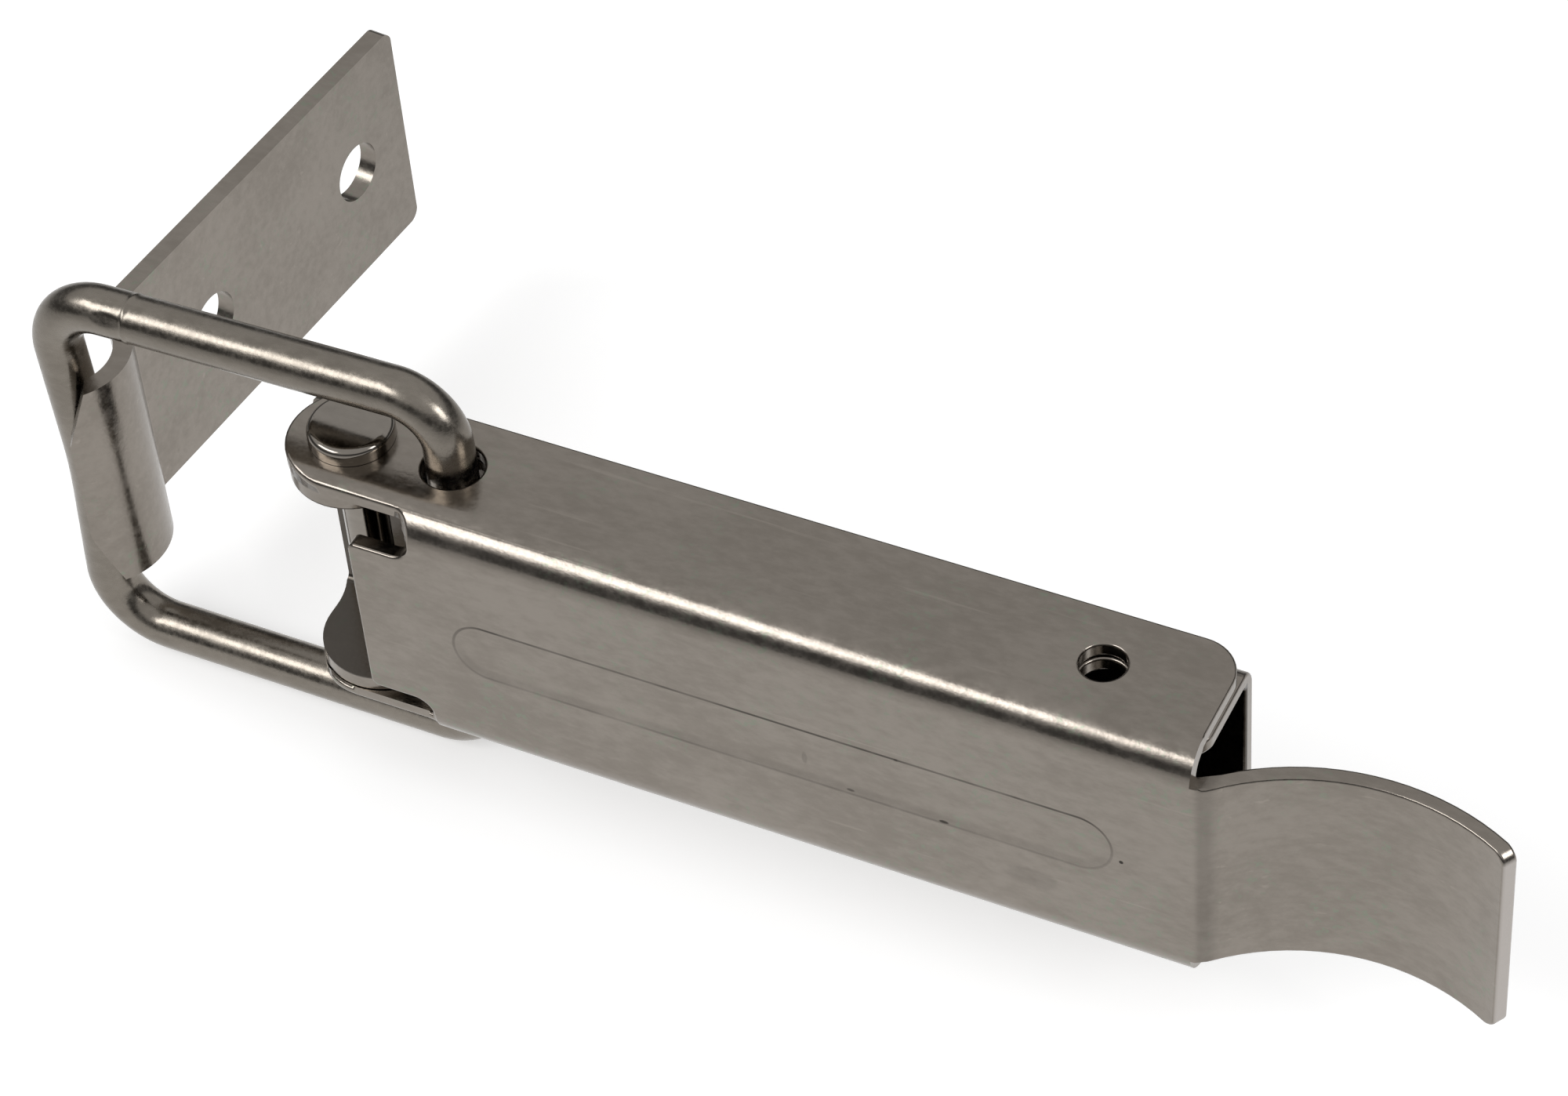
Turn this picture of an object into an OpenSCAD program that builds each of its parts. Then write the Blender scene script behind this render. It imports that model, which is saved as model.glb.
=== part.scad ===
// Over centre toggle latch, shown closed.
// X runs along the latch to the finger tab, Z along the pivot, and -Y away from the mounting surface.
// The origin lies on the mounting surface, midway between the base's two screw holes.

/* [Sheet and wire] */
// Thickness of the sheet of the base and the handle
sheet_t = 1.6; // [1.5:0.05:1.7]
// Inside radius of the handle's bends
bend_r = 2.3; // [2:0.1:2.5]
// Diameter of the bail's wire
wire_d = 5.0; // [4.6:0.1:5.1]
// Thickness of the catch plate
catch_t = 2.0; // [1.8:0.1:2.1]

/* [Base] */
// Length of the base
base_len = 97.0; // [94:0.2:100]
// Width of the base over its flanges
base_w = 27.0; // [25.6:0.1:27.2]
// Height of the pivot above the mounting surface
pivot_h = 6.75; // [6.7:0.05:7.1]
// Distance between the two screw holes
screw_pitch = 44; // [40:1:48]
// Diameter of the screw holes of the base and the catch plate
screw_d = 6.6; // [5:0.1:7]
// Diameter of the lock holes
lock_d = 4.5; // [3.5:0.1:5]

/* [Handle] */
// Width of the handle over its flanges
handle_w = 30.9; // [30.6:0.1:32]
// Distance from the pivot to the tip of the finger tab
handle_len = 118.2; // [117.2:0.5:120.7]
// Height of the handle's face above the pivot
handle_h = 8.45; // [8.3:0.05:9]
// Distance from the pivot to the bail holes
throw = 11.0; // [10.9:0.1:11.3]
// Diameter of the bail holes
bail_hole_d = 6.2; // [6.1:0.1:6.6]
// Distance from the pivot to the lock holes
lock_x = 78; // [74:0.5:80]
// Distance between the centres of the finger tab's two curves
tab_reach = 24.735; // [23.28:0.485:25.22]

/* [Bail] */
// Distance from the crossbar to the middle of the far side
bail_len = 42.95; // [42.85:0.05:43.05]
// Distance between the bail's side wires at the far side, centre to centre
bail_w = 44.2; // [43:0.2:46]
// Slope of each half of the far side, towards its middle
bail_slope = 3.3; // [2.8:0.1:3.6]

/* [Catch plate] */
// Width of the catch plate
catch_w = 26.1; // [25:0.1:28]
// Length from the crease to the free end
catch_len = 47.1; // [46:0.1:50]
// Distance between the catch plate's screw holes
catch_pitch = 26; // [24:0.5:27]
// Outside radius of the hook
hook_r = 7.1; // [7.1:0.05:7.3]
// Straight length between the crease and the hook's arc
hook_straight = 4.9; // [4.7:0.05:5.2]

/* [Hidden] */
$fn = 96;
steel = [0.56, 0.53, 0.50];
bright_steel = [0.66, 0.65, 0.63];
cut = 1;
far = 60;

// Places along the latch, measured from the pivot
screw_mid_x = 44;
base_x0 = -7.2;
base_x1 = base_x0 + base_len;
flange_x1 = 89.75;

// Base
base_bend_r = 0.8;
web_front = pivot_h - sheet_t;
ear_r = 6.45;
valley_y = 3.4;
valley_x1 = 13.95;
valley_r = 2.5;
base_front = -5.2;
base_corner_r = 3;
flare_y = 1.2;
flare_r = 8;

// Handle
lobe_r = 6.5;
lobe_y = -0.1;
handle_back = lobe_y + lobe_r;
lobe_front = lobe_y - lobe_r;
ear_gap = 0.15;
lobe_room = base_w + 2 * ear_gap;
handle_face = -handle_h;
back_corner_r = 4.2;
tongue_x = 3.2;
tongue_z = 9.9;
tongue_corner_r = 1;
notch_x = 9.95;
notch_r = 2;

// Pressed panel of the handle
panel_x0 = 13.65;
panel_x1 = 82.15;
panel_w = 6.7;
panel_d = 0.2;
panel_run = 0.8;

// Finger tab: an outward bend, then one long inward curve that starts tangent to it. The line
// between the two centres leans by the angle of a right triangle with sides 65, 72 and 97.
tab_turn_sin = 65 / 97;
tab_turn_cos = 72 / 97;
tab_w = 24.2;
tab_bend_r = 1;
tab_x0 = flange_x1 + 0.05;
tab_bend = [tab_x0, handle_face + tab_bend_r + sheet_t];
tab_centre = tab_bend + tab_reach * [tab_turn_sin, -tab_turn_cos];
tab_r = tab_reach - tab_bend_r - sheet_t;
tab_end = acos((handle_len - tab_centre.x) / tab_r);
tab_corner_r = 1.7;

// Pivot rivet
rivet_d = 4.4;
rivet_play = 0.05;
rivet_head_d = 8.6;
rivet_head_h = 1.8;
rivet_rim_r = 0.7;
lobe_hole_d = rivet_d + 0.16;

// Bail, in its own plane: x from the crossbar, z across. The loop is a little out of square: its two
// near corners stand further out than the far ones, the +z one more.
crossbar = [10.65, 0.3];
near_out = [1.1, 0.1];
near_corner_r = 5.25;
far_corner_r = 6.4;
joint_d = wire_d + 0.02;
joint_gap = 0.05;
far_z = bail_w / 2;
far_x = -bail_len - far_z * tan(bail_slope);

// Catch plate, in its own frame: the front of its flat lies on the y axis
catch_origin = [-33.15, 1.07];
catch_turn = 5.56;
crease_y = 9;
crease_r = 1;
hook_turn = 47.16;
hook_dir = [sin(hook_turn), -cos(hook_turn)];
hook_normal = [cos(hook_turn), sin(hook_turn)];
crease_centre = [crease_r, crease_y + crease_r * tan(hook_turn / 2)];
hook_start = [0, crease_y] + hook_straight * hook_dir;
hook_centre = hook_start - hook_r * hook_normal;
catch_end = crease_y + catch_len;
lip_turn = -54.5;
lip_w = 13;
lip_len = 2.35;
catch_hole_y = 21.4;
catch_corner_r = 1.5;
// Lap of the straight into the bends at its ends, and how far its faces lie within theirs
lap = 0.2;
seam = 0.01;

// Moves a piece drawn about the pivot to its place over the mounting surface
module at_pivot() {
    translate([-screw_mid_x, -pivot_h, 0]) children();
}

// Extrudes a section drawn as Y and Z along X
module along_x(x0, x1) {
    translate([x0, 0, 0]) rotate([90, 0, 90]) linear_extrude(x1 - x0) children();
}

// Extrudes an outline drawn as X and Z along Y
module along_y(y0, y1) {
    translate([0, y1, 0]) rotate([90, 0, 0]) linear_extrude(y1 - y0) children();
}

// Extrudes an outline drawn as X and Y along Z, half to each side of the middle
module across(width) {
    translate([0, 0, -width / 2]) linear_extrude(width) children();
}

// Hole along Z through the whole latch
module cross_hole(x, y, d) {
    translate([x, y, -far / 2]) cylinder(d = d, h = far);
}

// Rectangle from 0 to depth, with its two corners at 0 rounded
module rounded_start(depth, width, r) {
    translate([r, -width / 2]) square([depth - r, width]);
    translate([0, r - width / 2]) square([depth, width - 2 * r]);
    for (side = [-1, 1]) translate([r, side * (width / 2 - r)]) circle(r);
}

// Section of a folded channel: the outside of its web at 0, its flanges open towards depth
module channel_section(depth, width, inner_r) {
    difference() {
        rounded_start(depth, width, inner_r + sheet_t);
        translate([sheet_t, 0]) rounded_start(depth, width - 2 * sheet_t, inner_r);
    }
}

// Square block reaching to -x and -y, with the corner at the origin rounded
module corner_block(size, r) {
    translate([-size, -size]) square([size - r, size]);
    translate([-size, -size]) square([size, size - r]);
    translate([-r, -r]) circle(r);
}

// What is cut away to round the corner at the origin of a shape reaching to +x and +y. The round
// runs a little past both sides, so that it ends in clear edges.
module corner_spandrel(r) {
    inset = 0.98 * r;
    difference() {
        translate([-cut, -cut]) square(inset + cut);
        translate([inset, inset]) circle(r);
    }
}

// Ring of sheet from the side, its inner radius r_in
module ring(centre, r_in, thick) {
    translate(centre) difference() {
        circle(r_in + thick);
        circle(r_in);
    }
}

// Hollow curve from the ear out to the end of the web
module base_ear_flare() {
    difference() {
        translate([base_x0, flare_y]) square([-base_x0, pivot_h - flare_y]);
        translate([-ear_r - flare_r, flare_y]) circle(flare_r);
    }
}

// Flanges of the base from the side: ear, valley for the crossbar, long flange
module base_outline() {
    circle(ear_r);
    translate([-ear_r, 0]) square([2 * ear_r, pivot_h]);
    translate([0, valley_y]) square([base_x1, pivot_h - valley_y]);
    base_ear_flare();
    difference() {
        translate([ear_r, valley_y - valley_r]) square(valley_r);
        translate([ear_r + valley_r, valley_y - valley_r]) circle(valley_r);
    }
    difference() {
        translate([valley_x1 - valley_r, valley_y - valley_r]) square(valley_r);
        translate([valley_x1 - valley_r, valley_y - valley_r]) circle(valley_r);
    }
    difference() {
        translate([valley_x1, base_front]) square([base_x1 - valley_x1, pivot_h - base_front]);
        translate([valley_x1, base_front]) corner_spandrel(base_corner_r / 2);
        translate([base_x1, base_front]) mirror([1, 0]) corner_spandrel(base_corner_r);
    }
}

module base() {
    color(steel) at_pivot() difference() {
        intersection() {
            along_x(base_x0, base_x1)
                translate([pivot_h, 0]) mirror([1, 0]) channel_section(far, base_w, base_bend_r);
            across(base_w) base_outline();
        }
        cross_hole(0, 0, rivet_d);
        cross_hole(lock_x, 0, lock_d);
        for (side = [-1, 1])
            translate([screw_mid_x + side * screw_pitch / 2, web_front - cut, 0])
                rotate([-90, 0, 0]) cylinder(d = screw_d, h = sheet_t + 2 * cut);
    }
}

// Handle from the side, with the tongue of its web
module handle_outline() {
    translate([0, lobe_y]) circle(lobe_r);
    translate([0, lobe_front]) square([flange_x1 - back_corner_r, handle_back - lobe_front]);
    translate([tongue_x, handle_face]) square([flange_x1 - tongue_x, handle_back - back_corner_r - handle_face]);
    translate([flange_x1 - back_corner_r, handle_back - back_corner_r]) circle(back_corner_r);
}

// Corner cut out of the bend beside the tongue, at the +Z side
module corner_notch() {
    intersection() {
        translate([0, 0, tongue_z]) linear_extrude(handle_w)
            translate([notch_x, lobe_front]) corner_block(far, notch_r);
        along_y(handle_face - cut, 0)
            translate([notch_x, tongue_z]) mirror([0, 1]) corner_block(far, notch_r);
    }
}

// Flat inner sides of the lobes, between which the ears turn
module ear_room() {
    translate([-far, lobe_front - ear_gap, -lobe_room / 2])
        cube([far + notch_x, ear_gap - lobe_front, lobe_room]);
}

// Low pad with sloping sides and round ends, its wide side at height y
module panel_pad(y) {
    half = panel_w / 2;
    flat = half - panel_run;
    translate([0, y, 0]) {
        for (x = [panel_x0 + half, panel_x1 - half])
            translate([x, 0, 0]) rotate([-90, 0, 0]) cylinder(r1 = half, r2 = flat, h = panel_d);
        along_x(panel_x0 + half, panel_x1 - half)
            polygon([[0, -half], [panel_d, -flat], [panel_d, flat], [0, half]]);
    }
}

// The two curves of the finger tab, each cut off on the line between their centres
module tab_outline() {
    intersection() {
        ring(tab_bend, tab_bend_r, sheet_t);
        polygon([tab_bend, tab_bend - [0, far], tab_centre - [0, far], tab_centre]);
    }
    intersection() {
        ring(tab_centre, tab_r, sheet_t);
        polygon([tab_bend, tab_centre, tab_centre + far * [cos(tab_end), sin(tab_end)],
            tab_centre + [0, far], tab_bend + [0, far]]);
    }
}

module finger_tab() {
    difference() {
        across(tab_w) tab_outline();
        translate([tab_centre.x, tab_centre.y, 0]) for (side = [0, 1])
            rotate([0, 0, tab_end]) mirror([0, 0, side]) along_x(tab_r - cut, tab_r + sheet_t + cut)
                translate([0, -tab_w / 2]) corner_spandrel(tab_corner_r);
    }
}

module handle() {
    color(steel) at_pivot() difference() {
        union() {
            intersection() {
                along_x(-far, flange_x1)
                    translate([handle_face, 0]) channel_section(far, handle_w, bend_r);
                across(handle_w) handle_outline();
            }
            along_x(flange_x1, tab_x0)
                translate([handle_face, -tab_w / 2]) square([sheet_t, tab_w]);
            panel_pad(handle_face + sheet_t);
            finger_tab();
        }
        panel_pad(handle_face);
        ear_room();
        for (side = [0, 1]) mirror([0, 0, side]) {
            corner_notch();
            along_y(handle_face - cut, lobe_front)
                translate([tongue_x, -tongue_z]) corner_spandrel(tongue_corner_r);
        }
        cross_hole(0, 0, lobe_hole_d);
        cross_hole(throw, 0, bail_hole_d);
        cross_hole(lock_x, 0, lock_d);
    }
}

// Half section of the rivet's head: flat top, round rim
module rivet_head_section() {
    r = rivet_head_d / 2;
    square([r, rivet_head_h - rivet_rim_r]);
    square([r - rivet_rim_r, rivet_head_h]);
    translate([r - rivet_rim_r, rivet_head_h - rivet_rim_r]) circle(rivet_rim_r);
}

module pivot_rivet() {
    head_z = handle_w / 2 + rivet_play;
    color(bright_steel) at_pivot() {
        cylinder(d = rivet_d, h = 2 * head_z, center = true);
        for (side = [0, 1]) mirror([0, 0, side])
            translate([0, 0, head_z]) rotate_extrude() rivet_head_section();
    }
}

// Straight wire along z
module wire(length) {
    cylinder(d = wire_d, h = length);
}

// Wire bent in the plane of x and z, from angle a0 to a1, measured from +x towards +z
module wire_bend(r, a0, a1) {
    rotate([90, 0, 0]) rotate([0, 0, a0]) rotate_extrude(angle = a1 - a0)
        translate([r, 0]) circle(d = wire_d);
}

// Ball of nearly the wire's size at a joint of the bail, placed by x and z
module wire_joint(place) {
    translate([place.x, 0, place.y]) sphere(d = joint_d);
}

// Half of the bail at +z: near corner, side, far corner and half of the far side. The near corner
// stands out past the far one.
module bail_half(out) {
    near_z = far_z + out;
    lean = atan(out / -far_x);
    near_cut = near_corner_r * tan((90 + lean) / 2);
    far_cut = far_corner_r * tan((90 + bail_slope - lean) / 2);
    side_dir = [-cos(lean), -sin(lean)];
    side_start = [0, near_z] + near_cut * side_dir;
    side_end = [far_x, far_z] - far_cut * side_dir;
    far_centre = side_end + far_corner_r * [sin(lean), -cos(lean)];
    far_half_len = far_z / cos(bail_slope) - far_cut;
    translate([0, 0, near_z - near_cut]) {
        translate([-near_corner_r, 0, 0]) wire_bend(near_corner_r, 0, 90 + lean);
        translate([0, 0, -near_z]) wire(near_z);
    }
    wire_joint(side_start);
    translate([side_start.x, 0, side_start.y]) rotate([0, -90 - lean, 0])
        translate([0, 0, joint_gap]) wire(norm(side_end - side_start) - 2 * joint_gap);
    wire_joint(side_end);
    translate([far_centre.x, 0, far_centre.y])
        wire_bend(far_corner_r, 90 + lean, 180 + bail_slope);
    translate([-bail_len, 0, 0]) rotate([0, -bail_slope, 0]) {
        translate([0, 0, joint_gap]) wire(far_half_len - 2 * joint_gap);
        wire_joint([0, far_half_len]);
    }
}

module bail() {
    color(bright_steel) at_pivot() translate([crossbar.x, crossbar.y, 0]) {
        wire_joint([-bail_len, 0]);
        bail_half(near_out[0]);
        mirror([0, 0, 1]) bail_half(near_out[1]);
    }
}

// Sector of a ring of sheet, from angle a0 to a1, less than half a turn
module ring_sector(centre, r_in, thick, a0, a1) {
    mid = (a0 + a1) / 2;
    intersection() {
        ring(centre, r_in, thick);
        polygon(concat([centre], [for (a = [a0, mid, a1]) centre + far * [cos(a), sin(a)]]));
    }
}

// Strip of the catch plate: flat, bend, straight and hook
module catch_strip() {
    bend_end = crease_centre - crease_r * hook_normal - lap * hook_dir;
    arc_start = hook_start + lap * hook_dir;
    front = seam * hook_normal;
    back = (catch_t - seam) * hook_normal;
    across(catch_w)
        translate([-catch_t, crease_centre.y]) square([catch_t, catch_end - crease_centre.y]);
    across(catch_w) ring_sector(crease_centre, crease_r, catch_t, 180, 180 + hook_turn);
    across(catch_w) polygon([bend_end - front, arc_start - front, arc_start - back, bend_end - back]);
    across(catch_w) ring_sector(hook_centre, hook_r - catch_t, catch_t, lip_turn, hook_turn);
}

// Corner cut off one side of the hook's lip
module lip_corner() {
    along_x(hook_r - catch_t - cut, hook_r + cut)
        polygon([[-cut, lip_w / 2], [0, lip_w / 2], [lip_len, catch_w / 2], [lip_len, far], [-cut, far]]);
}

module catch_plate() {
    color(steel) at_pivot() translate([catch_origin.x, catch_origin.y, 0]) rotate([0, 0, -catch_turn])
        difference() {
            catch_strip();
            for (side = [0, 1]) mirror([0, 0, side]) {
                along_x(-catch_t - cut, cut)
                    translate([catch_end, -catch_w / 2]) mirror([1, 0]) corner_spandrel(catch_corner_r);
                translate([hook_centre.x, hook_centre.y, 0]) rotate([0, 0, lip_turn]) lip_corner();
            }
            for (y = [catch_hole_y, catch_hole_y + catch_pitch])
                translate([-catch_t - cut, y, 0]) rotate([0, 90, 0])
                    cylinder(d = screw_d, h = catch_t + 2 * cut);
        }
}

base();
handle();
pivot_rivet();
bail();
catch_plate();
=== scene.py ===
"""Looks of the over centre toggle latch: satin steel sheet, drawn wire and a pressed rivet.

Everything is in metres in the part's own frame: X along the latch to the finger tab, Z along the pivot,
-Y away from the wall that the base is screwed to.
"""
import math

import bmesh
import bpy
import numpy as np
from mathutils import Euler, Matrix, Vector


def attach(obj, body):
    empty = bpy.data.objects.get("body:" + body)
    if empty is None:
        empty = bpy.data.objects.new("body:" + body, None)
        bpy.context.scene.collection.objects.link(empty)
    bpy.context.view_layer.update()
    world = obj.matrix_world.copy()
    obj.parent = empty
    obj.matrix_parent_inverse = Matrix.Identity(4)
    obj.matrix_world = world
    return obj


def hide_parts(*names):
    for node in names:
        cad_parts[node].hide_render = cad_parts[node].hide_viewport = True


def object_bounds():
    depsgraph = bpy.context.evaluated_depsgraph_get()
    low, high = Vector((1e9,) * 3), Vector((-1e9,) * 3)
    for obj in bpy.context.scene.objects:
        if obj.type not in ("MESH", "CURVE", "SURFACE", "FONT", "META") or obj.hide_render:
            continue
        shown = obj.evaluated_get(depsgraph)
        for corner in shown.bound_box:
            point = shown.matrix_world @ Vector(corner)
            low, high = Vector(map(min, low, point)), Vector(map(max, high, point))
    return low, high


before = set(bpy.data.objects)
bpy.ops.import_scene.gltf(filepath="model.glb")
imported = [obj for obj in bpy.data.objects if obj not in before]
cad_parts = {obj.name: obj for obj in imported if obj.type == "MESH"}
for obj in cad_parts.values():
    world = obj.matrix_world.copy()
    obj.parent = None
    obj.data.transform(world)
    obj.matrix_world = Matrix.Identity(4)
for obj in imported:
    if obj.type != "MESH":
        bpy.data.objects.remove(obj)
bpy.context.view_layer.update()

MM = 0.001

# Camera: place, turn and lens that put the latch where the photograph has it
CAMERA_PLACE = (0.155785, -0.279210, 0.338379)
CAMERA_TURN_DEG = (44.1808, 3.6734, 25.6485)
CAMERA_LENS_MM = 111.57
CAMERA_SENSOR_MM = 36.0
CAMERA_CLIP = (0.01, 30.0)

# World: strength as light, to the camera, and in mirrors from the horizon up to the ceiling
AMBIENT_STRENGTH = 0.55
BACKGROUND_STRENGTH = 1.0
HORIZON_STRENGTH = 0.10
CEILING_STRENGTH = 0.66
HORIZON_TOP, CEILING_LOW = 0.30, 0.52

# Floor: its colour and glow to the camera, and in mirrors, where it fades in two steps with the distance,
# which counts less along x than along y
FLOOR_GAP = 0.2 * MM
FLOOR_SIZE = 6.0
FLOOR_COLOUR = (0.82, 0.82, 0.82)
FLOOR_GLOW = 0.45
FLOOR_ROUGHNESS = 0.9
TABLE_COLOUR = (0.14, 0.14, 0.14)
TABLE_GLOW = 0.86
TABLE_STRETCH = (0.45, 1.0, 1.0)
TABLE_NEAR, TABLE_FAR = 0.20, 0.90
TABLE_NEAR_LEVEL, TABLE_FAR_LEVEL = 0.52, 0.35

# Softboxes: place, width, height and watts. Both aim at the origin. The first one makes the streak along the
# wire and the handle's bend, the second one lights the corner of the tab.
SOFTBOXES = {
    "key_softbox": ((-0.58, -0.61, 0.77), 0.85, 0.33, 4.2),
    "side_softbox": ((0.80, -0.06, 0.52), 0.35, 0.35, 2.0)}

# Colours of the finishes, as linear light
SHEET_COLOUR = (0.300, 0.269, 0.236)
SHEET_DARK = (0.246, 0.219, 0.190)
WIRE_COLOUR = (0.268, 0.241, 0.208)
WIRE_DARK = (0.214, 0.191, 0.163)
RIVET_COLOUR = (0.290, 0.264, 0.234)
RIVET_DARK = (0.250, 0.227, 0.200)
CUT_COLOUR = (0.480, 0.445, 0.415)
FLECK_COLOUR = (0.235, 0.285, 0.215)
# dark colour of the pits and marks, also used for the painted shade
PIT_AND_SHADE_COLOUR = (0.030, 0.026, 0.022)

# Finishes: lowest and highest roughness, height of the grain, shares of pits and of greenish flecks
SHEET_FINISH = (0.16, 0.27, 0.045 * MM, 0.10, 0.55)
WIRE_FINISH = (0.17, 0.32, 0.05 * MM, 0.10, 0.0)
RIVET_FINISH = (0.08, 0.16, 0.008 * MM, 0.04, 0.0)

# Patterns of the steel: scale of each noise, and how far it is stretched along the latch
CLOUD_SCALE, CLOUD_STRETCH = 60.0, (1.0, 1.6, 1.6)
MOTTLE_SCALE, MOTTLE_STRETCH = 700.0, (0.6, 1.3, 1.3)
SCRATCH_SCALE, SCRATCH_STRETCH = 330.0, (0.10, 3.0, 3.0)
FLECK_SCALE, PATCH_SCALE, GRAIN_SCALE = 1300.0, 110.0, 2600.0
PIT_SCALE, PIT_RADIUS = 230.0, 0.035
SCRATCH_SHADE, SCRATCH_GAIN, PIT_SHADE, GRAIN_STRENGTH = 0.22, 1.5, 0.75, 0.3

# Pressed panel in the handle's face, whose step is drawn as painted shade: ends and half width of its
# outline, half width of the outline's line, how dark that line of painted shade is at the top and at the
# bottom, and how dark the painted shade on the slope inside of its lower side is
FACE_Y = -15.2 * MM
PANEL_X = (-26.9 * MM, 34.7 * MM)
PANEL_HALF = 3.45 * MM
PANEL_LINE = 0.10 * MM
PANEL_TOP_SHADE = 0.80
PANEL_LOW_SHADE = 0.30
PANEL_SLOPE_SHADE = 0.16

# Small marks on the handle's face: x, z, half length along x, half width, how dark
FACE_MARKS = (
    (6.9 * MM, -0.55 * MM, 0.35 * MM, 0.95 * MM, 0.22),
    (11.6 * MM, -3.00 * MM, 0.50 * MM, 0.16 * MM, 0.60),
    (21.2 * MM, -3.25 * MM, 0.60 * MM, 0.18 * MM, 0.85),
    (16.6 * MM, 3.40 * MM, 0.25 * MM, 0.20 * MM, 0.60),
    (39.05 * MM, -0.96 * MM, 0.26 * MM, 0.26 * MM, 0.95),
    (30.0 * MM, -7.2 * MM, 3.2 * MM, 1.6 * MM, 0.14))

# Shade in the inner bend at the tab's root, and the tab's cut end face as a direction in x and y and how far
# out along it the face lies
BEND_X = (46.0 * MM, 48.4 * MM)
BEND_SHADE = 0.24
TAB_END_WAY = (0.845, -0.534)
TAB_END_REACH = 69.27 * MM

# Inner sides of the base's channel, which get painted shade: half width in z, range in y
BASE_INSIDE_SHADE_BOX = (12.1 * MM, -14.0 * MM, -1.2 * MM)
INSIDE_SHADE = 0.72

# Bail: the loop of its wire's axis in the plane y = WIRE_Y, as x, z and corner radius
WIRE_R = 2.5 * MM
WIRE_Y = -6.45 * MM
CROSSBAR_X = -33.35 * MM
BAIL_LOOP = (
    (0.0, 23.20 * MM, 5.25 * MM),
    (-44.225 * MM, 22.10 * MM, 6.4 * MM),
    (-42.95 * MM, 0.0, 60.0 * MM),
    (-44.225 * MM, -22.10 * MM, 6.4 * MM),
    (0.0, -22.20 * MM, 5.25 * MM))
AROUND_WIRE = 64
CORNER_STEP = math.radians(4)
WELDED_RUN_STEP, RUN_STEP = 0.15 * MM, 0.8 * MM

# Weld in the bail's +Z side wire, near its far corner: a thin ring, and a flat ground beside it
WELD_X = -67.35 * MM
WELD_HEIGHT = 0.08 * MM
WELD_WIDTH = 0.20 * MM
FLAT_X = -69.1 * MM
FLAT_HALF_LENGTH = 1.75 * MM
FLAT_DEPTH = 0.13 * MM
FLAT_ANGLE_DEG = 25.0

# Rounding of the sheet's edges, and where it is left out
EDGE_R = 0.28 * MM
SHARP_ANGLE = math.radians(35)
FLAT_ANGLE = math.radians(0.6)
TAB_ROOT_X = 45.78 * MM
TAB_ROOT_HALF = 0.6 * MM
TAB_ROOT_Y = -12.0 * MM
LOBE_END_X = -33.9 * MM
LOBE_FRONT_Y = -13.7 * MM
LOBE_INNER_Z = 14.2 * MM


class Nodes:
    """Short way to add shader nodes to one material and link them."""

    def __init__(self, name):
        self.material = bpy.data.materials.new(name)
        self.material.use_nodes = True
        self.tree = self.material.node_tree
        self.shader = self.tree.nodes["Principled BSDF"]
        self.place = self.add("ShaderNodeTexCoord").outputs["Object"]

    def add(self, kind, inputs=None, **settings):
        """New node, with its settings, and its inputs linked to sockets or set to values."""
        node = self.tree.nodes.new(kind)
        for key, value in settings.items():
            setattr(node, key, value)
        for key, value in (inputs or {}).items():
            if isinstance(value, bpy.types.NodeSocket):
                self.tree.links.new(value, node.inputs[key])
            else:
                node.inputs[key].default_value = value
        return node

    def moved(self, scale=(1.0, 1.0, 1.0), shift=(0.0, 0.0, 0.0)):
        return self.add("ShaderNodeMapping",
                        {"Vector": self.place, "Scale": scale, "Location": shift}).outputs[0]

    def noise(self, scale, detail=3.0, roughness=0.55, vector=None):
        return self.add("ShaderNodeTexNoise", {
            "Vector": vector or self.place, "Scale": scale, "Detail": detail,
            "Roughness": roughness}).outputs["Fac"]

    def pits(self, scale, radius, share):
        """Small round spots, one in some of the cells: 1 inside a spot."""
        cells = self.add("ShaderNodeTexVoronoi", {"Vector": self.place, "Scale": scale, "Randomness": 1.0})
        chosen = self.spread(self.part(cells.outputs["Color"], 0), 1.0 - share, 1.0 - share + 0.01)
        return self.times(self.spread(cells.outputs["Distance"], radius, 0.6 * radius), chosen)

    def part(self, vector, index):
        return self.add("ShaderNodeSeparateXYZ", {0: vector}).outputs[index]

    def spread(self, value, low, high, to_low=0.0, to_high=1.0):
        """Takes values from low..high to to_low..to_high, and holds them there outside."""
        return self.add("ShaderNodeMapRange", {
            "Value": value, "From Min": low, "From Max": high,
            "To Min": to_low, "To Max": to_high}, clamp=True, interpolation_type="SMOOTHSTEP").outputs[0]

    def mix(self, factor, a, b):
        node = self.add("ShaderNodeMix", data_type="RGBA")
        for index, value in ((0, factor), (6, a), (7, b)):
            if isinstance(value, bpy.types.NodeSocket):
                self.tree.links.new(value, node.inputs[index])
            else:
                node.inputs[index].default_value = (*value, 1.0) if index else value
        return node.outputs[2]

    def sum(self, a, b):
        return self.add("ShaderNodeMath", {0: a, 1: b}, operation="ADD").outputs[0]

    def times(self, a, b):
        return self.add("ShaderNodeMath", {0: a, 1: b}, operation="MULTIPLY").outputs[0]

    def size(self, value):
        return self.add("ShaderNodeMath", {0: value}, operation="ABSOLUTE").outputs[0]

    def length(self, vector):
        return self.add("ShaderNodeVectorMath", {0: vector}, operation="LENGTH").outputs["Value"]

    def within(self, half_z, low_y, high_y, blur=0.12 * MM):
        """1 between two planes across z and two across y, 0 outside."""
        y, z = self.part(self.place, 1), self.part(self.place, 2)
        inside = self.times(self.spread(y, low_y, low_y + blur), self.spread(y, high_y, high_y - blur))
        return self.times(self.spread(self.size(z), half_z, half_z - blur), inside)

    def bump(self, height, strength, distance):
        return self.add("ShaderNodeBump", {
            "Height": height, "Strength": strength, "Distance": distance}).outputs[0]

    def into(self, socket, value):
        if isinstance(value, bpy.types.NodeSocket):
            self.tree.links.new(value, self.shader.inputs[socket])
        else:
            self.shader.inputs[socket].default_value = value


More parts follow.
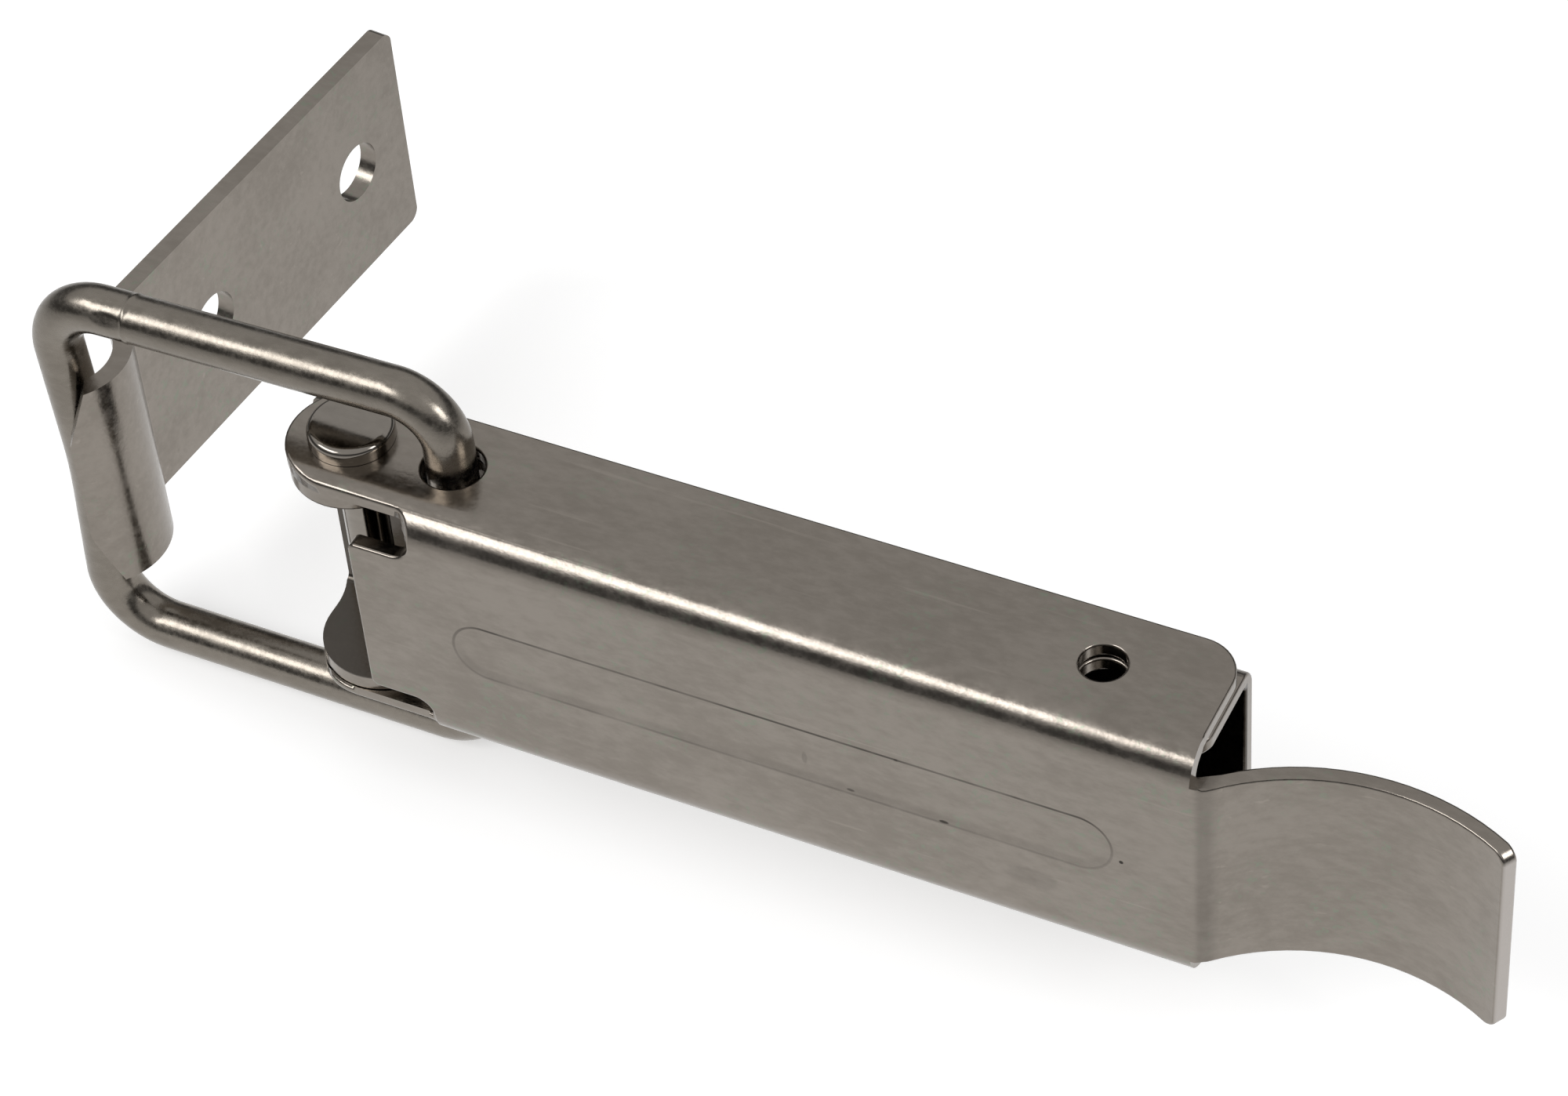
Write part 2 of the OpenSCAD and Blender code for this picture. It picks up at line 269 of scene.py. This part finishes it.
def steel(n, colour, dark, finish):
    """Metal whose colour drifts in soft clouds and fine mottling, with patches of fine greenish flecks,
    pits and fine scratches. Returns the colour and the surface normal."""
    rough_low, rough_high, grain_height, pit_share, fleck_share = finish
    clouds = n.noise(CLOUD_SCALE, detail=4.0, vector=n.moved(scale=CLOUD_STRETCH))
    mottle = n.noise(MOTTLE_SCALE, detail=4.0, roughness=0.65, vector=n.moved(scale=MOTTLE_STRETCH))
    shade = n.spread(n.sum(n.times(clouds, 0.45), n.times(mottle, 0.55)), 0.34, 0.64)
    tone = n.mix(shade, dark, colour)
    flecks = n.spread(n.noise(FLECK_SCALE, detail=3.0, roughness=0.7), 0.54, 0.64)
    patches = n.spread(n.noise(PATCH_SCALE, detail=2.0), 0.50, 0.62)
    tone = n.mix(n.times(n.times(flecks, patches), fleck_share), tone, FLECK_COLOUR)
    scratch = n.spread(n.noise(SCRATCH_SCALE, detail=3.0, vector=n.moved(scale=SCRATCH_STRETCH)), 0.66, 0.74)
    tone = n.mix(n.times(scratch, SCRATCH_SHADE), tone, tuple(min(1.0, SCRATCH_GAIN * c) for c in colour))
    pits = n.pits(PIT_SCALE, PIT_RADIUS, pit_share)
    tone = n.mix(n.times(pits, PIT_SHADE), tone, PIT_AND_SHADE_COLOUR)
    grain = n.noise(GRAIN_SCALE, detail=2.0)
    n.into("Metallic", 1.0)
    n.into("Roughness", n.spread(n.sum(n.times(mottle, 0.6), n.times(grain, 0.4)), 0.35, 0.65,
                                 rough_low, rough_high))
    relief = n.sum(n.times(grain, 0.5), mottle)
    return tone, n.bump(relief, GRAIN_STRENGTH, grain_height)


def steel_material(name, colour, dark, finish, inside=None):
    """Plain finish, with painted shade on the faces inside of a box, given by its half width in z and its
    range in y.
    """
    n = Nodes(name)
    tone, normal = steel(n, colour, dark, finish)
    if inside:
        # painted shade on the faces inside the base's channel
        tone = n.mix(n.times(n.within(*inside), INSIDE_SHADE), tone, PIT_AND_SHADE_COLOUR)
    n.into("Base Color", tone)
    n.into("Normal", normal)
    return n.material


def panel_shade(n, x, z):
    """Painted shade of the pressed panel's outline: a thin dark line round it, stronger at the top, and a
    soft shade on the slope inside of its lower side, both uneven along their length."""
    nearest = n.add("ShaderNodeClamp", {"Value": x, "Min": PANEL_X[0], "Max": PANEL_X[1]}).outputs[0]
    along = n.add("ShaderNodeMath", {0: x, 1: nearest}, operation="SUBTRACT").outputs[0]
    across = n.add("ShaderNodeCombineXYZ", {0: along, 2: z}).outputs[0]
    off = n.sum(n.length(across), -PANEL_HALF)
    line = n.spread(n.size(off), 2.0 * PANEL_LINE, 0.7 * PANEL_LINE)
    line = n.times(line, n.spread(z, -2.5 * MM, 2.5 * MM, PANEL_LOW_SHADE, PANEL_TOP_SHADE))
    slope = n.times(n.spread(off, 0.1 * MM, -0.1 * MM), n.spread(off, -1.3 * MM, -0.6 * MM))
    slope = n.times(slope, n.spread(z, 0.5 * MM, -1.5 * MM, 0.0, PANEL_SLOPE_SHADE))
    uneven = n.spread(n.noise(160.0, detail=3.0), 0.35, 0.65, 0.55, 1.0)
    return n.times(n.sum(line, slope), uneven)


def handle_material():
    """The sheet's finish, with painted shade along the line round the pressed panel, a few marks on the face,
    the shade in the tab's inner bend and the lighter cut face at the tab's end."""
    n = Nodes("satin_handle")
    tone, normal = steel(n, SHEET_COLOUR, SHEET_DARK, SHEET_FINISH)
    x, y, z = (n.part(n.place, i) for i in range(3))
    on_face = n.spread(y, FACE_Y + 0.4 * MM, FACE_Y + 0.25 * MM)
    # painted shade along the pressed panel's outline, on the face only
    tone = n.mix(n.times(panel_shade(n, x, z), on_face), tone, PIT_AND_SHADE_COLOUR)
    for mark_x, mark_z, half_x, half_z, depth in FACE_MARKS:
        spot = n.moved(scale=(1 / half_x, 0.0, 1 / half_z), shift=(-mark_x / half_x, 0.0, -mark_z / half_z))
        away = n.sum(n.length(spot), n.times(n.noise(900.0), 0.6))
        tone = n.mix(n.times(n.spread(away, 1.3, 0.9, 0.0, depth), on_face), tone, PIT_AND_SHADE_COLOUR)
    bend = n.times(n.spread(x, BEND_X[0], BEND_X[0] + 0.8 * MM), n.spread(x, BEND_X[1], BEND_X[1] - 1.2 * MM))
    tone = n.mix(n.times(bend, BEND_SHADE), tone, PIT_AND_SHADE_COLOUR)
    tip = n.sum(n.times(x, TAB_END_WAY[0]), n.times(y, TAB_END_WAY[1]))
    tone = n.mix(n.spread(tip, TAB_END_REACH - 0.25 * MM, TAB_END_REACH - 0.02 * MM), tone, CUT_COLOUR)
    n.into("Base Color", tone)
    n.into("Normal", normal)
    return n.material


def dress(node, material):
    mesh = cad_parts[node].data
    mesh.materials.clear()
    mesh.materials.append(material)


def new_piece(name, mesh, body, material):
    piece = bpy.data.objects.new(name, mesh)
    bpy.context.scene.collection.objects.link(piece)
    mesh.materials.append(material)
    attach(piece, body)
    return piece


def is_rounded(edge):
    """Outer edges of the sheet that get a round: sharp ones, away from the tab's root and from the inner
    side of the lobes, where the shapes are too small for it."""
    if len(edge.link_faces) != 2 or edge.calc_face_angle(0.0) < SHARP_ANGLE:
        return False
    for vertex in edge.verts:
        x, y, z = vertex.co
        if abs(x - TAB_ROOT_X) < TAB_ROOT_HALF and y < TAB_ROOT_Y:
            return False
        if x < LOBE_END_X and y > LOBE_FRONT_Y and abs(z) < LOBE_INNER_Z:
            return False
    return True


def rounded_sheet(node, material):
    """Copy of a CAD piece with its sharp edges rounded, which stands for it. Its body has the same name."""
    shape = bmesh.new()
    shape.from_mesh(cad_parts[node].data)
    bmesh.ops.remove_doubles(shape, verts=shape.verts, dist=0.001 * MM)
    bmesh.ops.dissolve_limit(shape, angle_limit=FLAT_ANGLE, verts=shape.verts, edges=shape.edges)
    weight = shape.edges.layers.float.new("bevel_weight_edge")
    for edge in shape.edges:
        edge[weight] = 1.0 if is_rounded(edge) else 0.0
    mesh = bpy.data.meshes.new(node + "_rounded")
    shape.to_mesh(mesh)
    shape.free()
    mesh.shade_smooth()
    mesh.set_sharp_from_angle(angle=SHARP_ANGLE)
    piece = new_piece(node + "_rounded", mesh, node, material)
    bevel = piece.modifiers.new("edges", "BEVEL")
    bevel.width = EDGE_R
    bevel.segments = 3
    bevel.limit_method = "WEIGHT"
    bevel.use_clamp_overlap = False
    bevel.loop_slide = False
    flats = piece.modifiers.new("flats", "WEIGHTED_NORMAL")
    flats.mode = "FACE_AREA"
    flats.weight = 50
    flats.keep_sharp = True
    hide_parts(node)


def loop_path(corners):
    """Points and tangents along a closed loop of straight runs and round corners, both as x and z. The steps
    are finer on the corners and on the first run, which carries the weld."""
    places, ways = [], []
    count = len(corners)
    points = [np.array(c[:2]) for c in corners]
    for i in range(count):
        before, here, after = points[i - 1], points[i], points[(i + 1) % count]
        way_in = (here - before) / np.linalg.norm(here - before)
        way_out = (after - here) / np.linalg.norm(after - here)
        turn = math.atan2(way_in[0] * way_out[1] - way_in[1] * way_out[0], way_in @ way_out)
        radius = corners[i][2]
        reach = radius * math.tan(abs(turn) / 2)
        start = here - reach * way_in
        side = math.copysign(1.0, turn) * np.array([-way_in[1], way_in[0]])
        centre = start + radius * side
        steps = max(4, int(abs(turn) / CORNER_STEP))
        for k in range(steps + 1):
            a = turn * k / steps
            turned = np.array([[math.cos(a), -math.sin(a)], [math.sin(a), math.cos(a)]])
            places.append(centre - turned @ (radius * side))
            ways.append(turned @ way_in)
        next_turn_in = points[(i + 2) % count] - after
        next_turn_in = next_turn_in / np.linalg.norm(next_turn_in)
        next_turn = math.atan2(way_out[0] * next_turn_in[1] - way_out[1] * next_turn_in[0],
                               way_out @ next_turn_in)
        next_reach = corners[(i + 1) % count][2] * math.tan(abs(next_turn) / 2)
        run_end = after - next_reach * way_out
        run_start = places[-1]
        length = np.linalg.norm(run_end - run_start)
        steps = max(2, int(length / (WELDED_RUN_STEP if i == 0 else RUN_STEP)))
        for k in range(1, steps):
            places.append(run_start + (run_end - run_start) * k / steps)
            ways.append(way_out)
    return np.array(places), np.array(ways)


def make_bail(material):
    """The bail as one smooth loop of wire:
    P(s, a) = C(s) + r(s, a) (cos(a) N(s) + sin(a) Y), with C the loop in the plane y = WIRE_Y, N its normal
    in that plane, and r the wire's radius, a little larger at the weld's ring and cut off at the flat:
    r = min(WIRE_R + h exp(-(x - x_weld)^2 / w^2),
            (WIRE_R - d (1 - ((x - x_flat) / l)^2)) / cos(a - a_flat))."""
    places, ways = loop_path(BAIL_LOOP)
    places = places + [CROSSBAR_X, 0.0]
    outward = np.stack([-ways[:, 1], ways[:, 0]], axis=1)
    middle = places.mean(axis=0)
    if ((places - middle) * outward).sum() < 0:
        outward = -outward
    angle = np.linspace(0.0, 2 * math.pi, AROUND_WIRE, endpoint=False)
    x = places[:, 0][:, None]
    on_weld_side = (places[:, 1][:, None] > 0) & (np.abs(outward[:, 1][:, None]) > 0.9)
    radius = np.full((len(places), AROUND_WIRE), WIRE_R)
    ring = WELD_HEIGHT * np.exp(-((x - WELD_X) / WELD_WIDTH) ** 2)
    radius = radius + np.where(on_weld_side, ring, 0.0)
    depth = FLAT_DEPTH * np.clip(1 - ((x - FLAT_X) / FLAT_HALF_LENGTH) ** 2, 0.0, None)
    flat_angle = math.radians(270 + FLAT_ANGLE_DEG)
    lean = np.cos(angle - flat_angle)[None, :]
    flat = np.where(lean > 0.2, (WIRE_R - depth) / np.maximum(lean, 0.2), 1.0)
    radius = np.where(on_weld_side & (depth > 0), np.minimum(radius, flat), radius)
    out = radius * np.cos(angle)[None, :]
    up = radius * np.sin(angle)[None, :]
    grid = np.stack([places[:, 0][:, None] + out * outward[:, 0][:, None],
                     WIRE_Y + up,
                     places[:, 1][:, None] + out * outward[:, 1][:, None]], axis=2)
    rows, cols = radius.shape
    index = np.arange(rows * cols).reshape(rows, cols)
    next_row = np.roll(index, -1, axis=0)
    faces = np.stack([index, next_row, np.roll(next_row, -1, axis=1), np.roll(index, -1, axis=1)],
                     axis=2).reshape(-1, 4)
    mesh = bpy.data.meshes.new("bail_wire")
    mesh.from_pydata(grid.reshape(-1, 3).tolist(), [], faces.tolist())
    shape = bmesh.new()
    shape.from_mesh(mesh)
    bmesh.ops.recalc_face_normals(shape, faces=shape.faces)
    shape.to_mesh(mesh)
    shape.free()
    mesh.shade_smooth()
    piece = new_piece("bail_wire", mesh, "bail", material)
    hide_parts("bail")


def make_camera():
    data = bpy.data.cameras.new("camera")
    data.lens = CAMERA_LENS_MM
    data.sensor_width = CAMERA_SENSOR_MM
    data.sensor_fit = "HORIZONTAL"
    data.clip_start, data.clip_end = CAMERA_CLIP
    camera = bpy.data.objects.new("camera", data)
    camera.location = CAMERA_PLACE
    camera.rotation_euler = Euler([math.radians(a) for a in CAMERA_TURN_DEG])
    bpy.context.scene.collection.objects.link(camera)
    bpy.context.scene.camera = camera


def world_node(tree, kind, inputs, **settings):
    node = tree.nodes.new(kind)
    for key, value in settings.items():
        setattr(node, key, value)
    for key, value in inputs.items():
        if isinstance(value, bpy.types.NodeSocket):
            tree.links.new(value, node.inputs[key])
        else:
            node.inputs[key].default_value = value
    return node.outputs[0]


def make_world():
    """White to the camera and through glass. Metal mirrors a studio: a dark band along the horizon and
    a grey ceiling over the white table. As light on the surfaces it is even and softer."""
    world = bpy.data.worlds.new("studio")
    world.use_nodes = True
    bpy.context.scene.world = world
    tree = world.node_tree
    background = tree.nodes["Background"]
    background.inputs["Color"].default_value = (1.0, 1.0, 1.0, 1.0)
    path = tree.nodes.new("ShaderNodeLightPath")
    direction = tree.nodes.new("ShaderNodeTexCoord").outputs["Generated"]
    height = tree.nodes.new("ShaderNodeSeparateXYZ")
    tree.links.new(direction, height.inputs[0])
    studio = world_node(tree, "ShaderNodeMapRange",
                        {"Value": height.outputs[2], "From Min": HORIZON_TOP, "From Max": CEILING_LOW,
                         "To Min": HORIZON_STRENGTH, "To Max": CEILING_STRENGTH},
                        interpolation_type="SMOOTHSTEP")
    white = world_node(tree, "ShaderNodeMath", {0: path.outputs["Is Camera Ray"],
                                                1: path.outputs["Is Transmission Ray"]}, operation="MAXIMUM")
    mirrored = world_node(tree, "ShaderNodeMix", {0: path.outputs["Is Glossy Ray"],
                                                  2: AMBIENT_STRENGTH, 3: studio})
    level = world_node(tree, "ShaderNodeMix", {0: white, 2: mirrored, 3: BACKGROUND_STRENGTH})
    tree.links.new(level, background.inputs["Strength"])


def make_floor():
    """White table under the bail, which keeps the latch's shadow. Metal mirrors it white up close and
    darker with the distance."""
    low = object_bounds()[0][2] - FLOOR_GAP
    half = FLOOR_SIZE / 2
    mesh = bpy.data.meshes.new("floor")
    mesh.from_pydata([(-half, -half, low), (half, -half, low), (half, half, low), (-half, half, low)],
                     [], [(0, 1, 2, 3)])
    floor = bpy.data.objects.new("floor", mesh)
    bpy.context.scene.collection.objects.link(floor)
    n = Nodes("floor_white")
    path = n.add("ShaderNodeLightPath")
    reach = n.length(n.moved(scale=TABLE_STRETCH))
    level = n.times(n.spread(reach, 0.0, TABLE_NEAR, 1.0, TABLE_NEAR_LEVEL),
                    n.spread(reach, TABLE_NEAR, TABLE_FAR, 1.0, TABLE_FAR_LEVEL))
    n.into("Base Color", n.mix(path.outputs["Is Glossy Ray"], FLOOR_COLOUR, TABLE_COLOUR))
    n.into("Roughness", FLOOR_ROUGHNESS)
    n.into("Specular IOR Level", 0.0)
    glow = n.sum(n.times(path.outputs["Is Camera Ray"], FLOOR_GLOW),
                 n.times(n.times(path.outputs["Is Glossy Ray"], level), TABLE_GLOW))
    n.into("Emission Color", (1.0, 1.0, 1.0, 1.0))
    n.into("Emission Strength", glow)
    mesh.materials.append(n.material)


def make_lamp(name, place, width, height, watts):
    data = bpy.data.lights.new(name, "AREA")
    data.shape = "RECTANGLE"
    data.size = width
    data.size_y = height
    data.energy = watts
    lamp = bpy.data.objects.new(name, data)
    lamp.location = place
    lamp.rotation_euler = (-Vector(place)).to_track_quat("-Z", "Y").to_euler()
    bpy.context.scene.collection.objects.link(lamp)


sheet = (SHEET_COLOUR, SHEET_DARK, SHEET_FINISH)
finishes = {"base": steel_material("satin_base", *sheet, inside=BASE_INSIDE_SHADE_BOX),
            "handle": handle_material(),
            "catch_plate": steel_material("satin_plate", *sheet)}
for node, finish in finishes.items():
    dress(node, finish)
    rounded_sheet(node, finish)
wire = steel_material("drawn_wire", WIRE_COLOUR, WIRE_DARK, WIRE_FINISH)
dress("bail", wire)
make_bail(wire)
dress("pivot_rivet", steel_material("pressed_rivet", RIVET_COLOUR, RIVET_DARK, RIVET_FINISH))

make_camera()
make_world()
make_floor()
for name, (place, width, height, watts) in SOFTBOXES.items():
    make_lamp(name, place, width, height, watts)

bpy.context.scene.view_settings.view_transform = "Standard"
